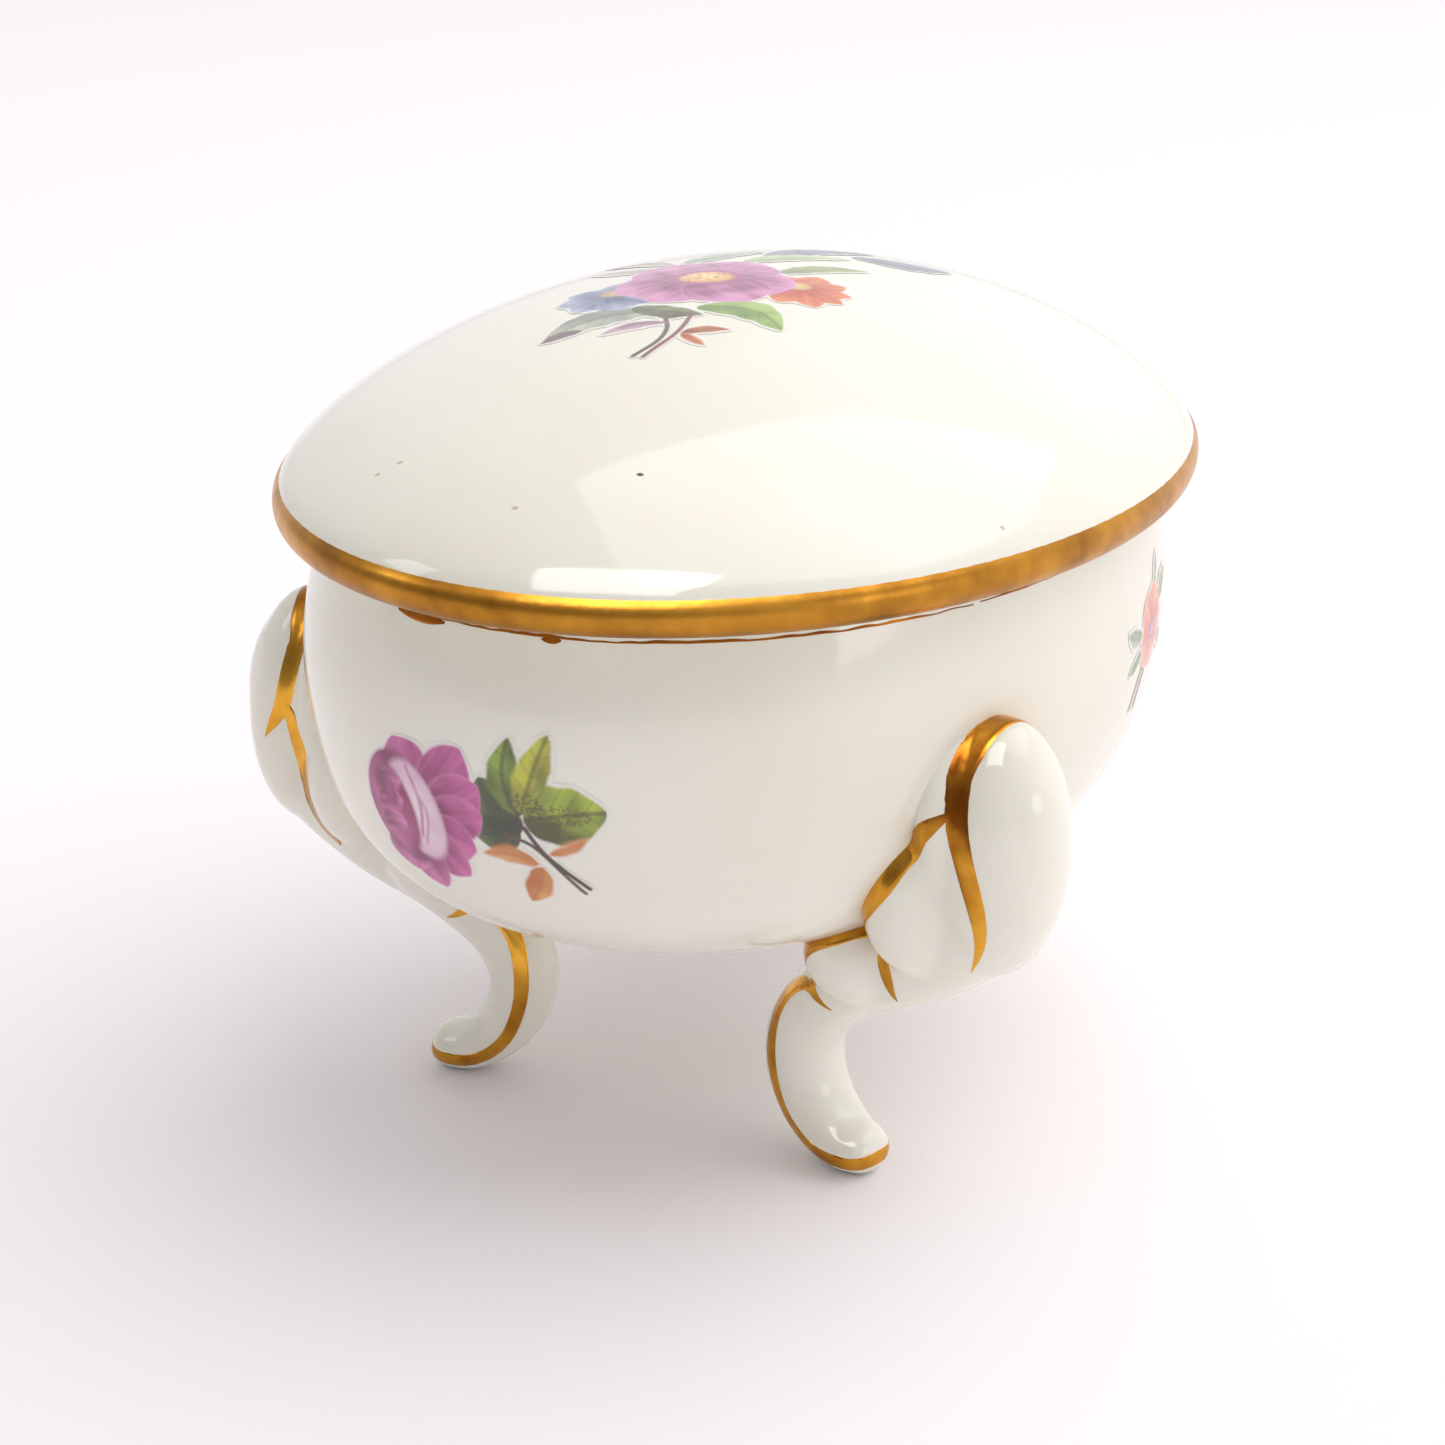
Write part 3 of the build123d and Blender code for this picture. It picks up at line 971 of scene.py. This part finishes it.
# %% paint the side sprays
def side_spray(seed):
    spray = Sheet((-1, 36), (17.5, 51), seed)
    leaf(spray, (5.2, 44.4), (1.0, 45.6), 1.1, *GREY_LEAF, bend=0.3)
    leaf(spray, (5.4, 43.0), (2.0, 41.6), 0.9, "#A9B97A", "#5F7A40", bend=0.2)
    leaf(spray, (10.6, 45.6), (15.8, 47.6), 1.2, "#A6A65A", "#66702F", bend=0.3)
    leaf(spray, (9.5, 47.0), (11.6, 50.2), 0.9, *GREY_LEAF, bend=0.2)
    leaf(spray, (11.4, 42.6), (15.2, 40.4), 1.1, "#9CB85C", "#557F33", bend=0.3)
    stem(spray, [(7.6, 42.0), (6.0, 40.4), (4.8, 37.6)], 0.26, "#5B4A3A")
    stem(spray, [(8.2, 41.6), (7.0, 39.6), (6.4, 37.4)], 0.22, "#6A4334")
    flower(
        spray, (8.7, 44.2), (3.9, 4.0), (0, 72, 144, 216, 288), (0.62, 0.6, 0.62, 0.6, 0.62),
        "#F3B29A", "#D2604A", "#E08A72",
    )
    oval(spray, (8.7, 44.0), (1.2, 1.2), "#C98ABB", "#8E4A86")
    dots(spray, (8.7, 44.0), (1.6, 1.6), 12, 0.2, "#E8B84A")
    return spray


fire(side_spray(3), "right_spray", BOWL_SURFACE, in_mm(0, 0, 0), (0, 1, 0), (0, 0, 1), "base")
left_spray = side_spray(4)
left_spray.spots[:, 0] *= -1
fire(left_spray, "left_spray", BOWL_SURFACE, in_mm(0, 0, 0), (0, -1, 0), (0, 0, 1), "base")

# %% [markdown]
# Kiln specks
#
# A few grains of kiln dirt melted into the lid's glaze: one dark, the others faint. The glaze already has
# its own fine specks, but these have a set place, so each is laid on as a tiny flat fleck.

# %% set the specks
ABOVE_LID = 90


def fleck(x, y):
    """Short stroke on the lid, at a place in mm from the axis."""
    middle, _, _, _ = LID_SURFACE.ray_cast(in_mm(x, y, ABOVE_LID), Vector((0, 0, -1)))
    step = Vector((0.25, 0.1, 0)) * MM
    return [(*(middle - step), 0.1 * MM), (*middle, 0.4 * MM), (*(middle + step), 0.1 * MM)]


def speck_ink(name, hex_colour):
    material, tree = new_material(name)
    shader = add_node(
        tree,
        "ShaderNodeBsdfPrincipled",
        base_color=linear(hex_colour),
        roughness=0.25,
        ior=GLAZE_IOR,
    )
    put_out(tree, shader)
    return material


for name, hex_colour, spots in (
    ("dark_speck", "#6A4438", [(8.8, -37.3)]),
    ("faint_specks", "#CFC0AE", [(-12.4, -40.5), (-11.0, -39.5), (1.6, -43.4), (31.5, -20.9)]),
):
    brush_strokes(
        name, LID_SURFACE, [fleck(*spot) for spot in spots], speck_ink(name, hex_colour), "lid",
        0.03 * MM,
    )

# %% [markdown]
# The table
#
# The box stands on a plain pale sheet, matt as paper, so that it takes a soft shadow and no clear reflection.

# %% the pale sheet
TABLE_SIZE = 6.0
clear_selection()
bpy.ops.mesh.primitive_plane_add(size=TABLE_SIZE, location=(0, 0, 0))
sheet = bpy.context.object
sheet.name = "pale_sheet"
sheet_material, sheet_tree = new_material("pale_sheet")
sheet_shader = add_node(
    sheet_tree, "ShaderNodeBsdfPrincipled", base_color=linear("#F5F1F3"), roughness=0.9
)
put_out(sheet_tree, sheet_shader)
sheet.data.materials.append(sheet_material)

# %% [markdown]
# The light
#
# A glossy white thing is drawn by what it reflects. The room itself glows from behind on the right and falls
# dark in front on the left, which models the bowl softly. One large light adds to it. Three small windows
# lend the glaze and the gold their clear reflections, and are left out of the diffuse light.

# %% soft light
world = bpy.data.worlds.new("white_room")
bpy.context.scene.world = world
world.use_nodes = True
sky = world.node_tree
sky_place = add_node(sky, "ShaderNodeTexCoord").outputs["Generated"]
sky_dot = add_node(sky, "ShaderNodeVectorMath", {"operation": "DOT_PRODUCT"})
sky.links.new(sky_place, sky_dot.inputs[0])
# The room is brightest behind the box on the right, where its windows are, and dim in front on the left.
sky_dot.inputs[1].default_value = (0.28, 0.86, 0.42)
sky_level = spread(sky, sky_dot.outputs["Value"], 0.28, 1.14, -0.75, 0.85)
sky_glow = sky.nodes["Background"]
sky_glow.inputs["Color"].default_value = linear("#F7F6FA")
sky.links.new(sky_level, sky_glow.inputs["Strength"])


def soft_light(name, place, aim, size, power, colour="#FFFFFF", size_y=None):
    """Rectangular area light at a place, turned to its aim."""
    data = bpy.data.lights.new(name, "AREA")
    data.shape = "RECTANGLE"
    data.size = size
    data.size_y = size_y or size
    data.energy = power
    data.color = linear(colour)[:3]
    light = bpy.data.objects.new(name, data)
    bpy.context.scene.collection.objects.link(light)
    light.location = place
    light.rotation_euler = (Vector(aim) - Vector(place)).to_track_quat("-Z", "Y").to_euler()
    return light


HEART = in_mm(0, 0, 40)
CAMERA_AZIMUTH = 26.03


def around(azimuth, elevation, distance):
    """Place round the bowl at an azimuth from the camera's side, to the right, and an elevation."""
    a = math.radians(CAMERA_AZIMUTH + azimuth)
    e = math.radians(elevation)
    return HEART + distance * Vector((math.sin(a) * math.cos(e), -math.cos(a) * math.cos(e), math.sin(e)))


soft_light("big_window", around(105, 66, 1.4), HEART, 1.6, 11.5, "#FFFDF8")
# These only lend their reflections to the glaze and the gold, as a room's far windows do.
for name, azimuth, elevation, wide, tall, power in (
    ("front_window", -12, 63, 0.5, 0.46, 4.2),
    ("left_window", -84, 36, 0.2, 0.2, 0.35),
    ("right_window", 60, 10, 0.24, 0.2, 0.36),
):
    window = soft_light(name, around(azimuth, elevation, 0.8), HEART, wide, power, "#FFFFFF", size_y=tall)
    window.visible_diffuse = False

# %% [markdown]
# The camera
#
# It looks down a little on the front of the box from its right, close by and with a long lens. The box isn't
# in the middle of the view, so the camera is turned off its aim by two shares of the view's width.

# %% camera
CAMERA_DISTANCE = 0.258
CAMERA_ELEVATION = 14.78
CAMERA_ROLL = 1.48
SENSOR = 36.0
FOCAL_SHARE = 2.043
aim = in_mm(0, 0, 60)
camera_data = bpy.data.cameras.new("camera")
camera_data.sensor_width = SENSOR
camera_data.lens = SENSOR * FOCAL_SHARE
camera = bpy.data.objects.new("camera", camera_data)
bpy.context.scene.collection.objects.link(camera)
azimuth, elevation = math.radians(CAMERA_AZIMUTH), math.radians(CAMERA_ELEVATION)
back = Vector(
    (math.sin(azimuth) * math.cos(elevation), -math.cos(azimuth) * math.cos(elevation), math.sin(elevation))
)
camera.location = aim + CAMERA_DISTANCE * back
looking = (-back).to_track_quat("-Z", "Y").to_matrix()
rolled = looking @ Matrix.Rotation(math.radians(CAMERA_ROLL), 3, "Z")
# The lid's middle stands right of and above the middle of the view.
AIM_RIGHT, AIM_UP = 0.0228, 0.2120
off = Vector((AIM_RIGHT / FOCAL_SHARE, AIM_UP / FOCAL_SHARE, -1)).normalized()
turned = Vector((0, 0, -1)).rotation_difference(off).to_matrix()
camera.matrix_world = Matrix.Translation(camera.location) @ (rolled @ turned.transposed()).to_4x4()
camera_data.clip_start = 0.01
bpy.context.scene.camera = camera
bpy.context.scene.view_settings.view_transform = "Standard"
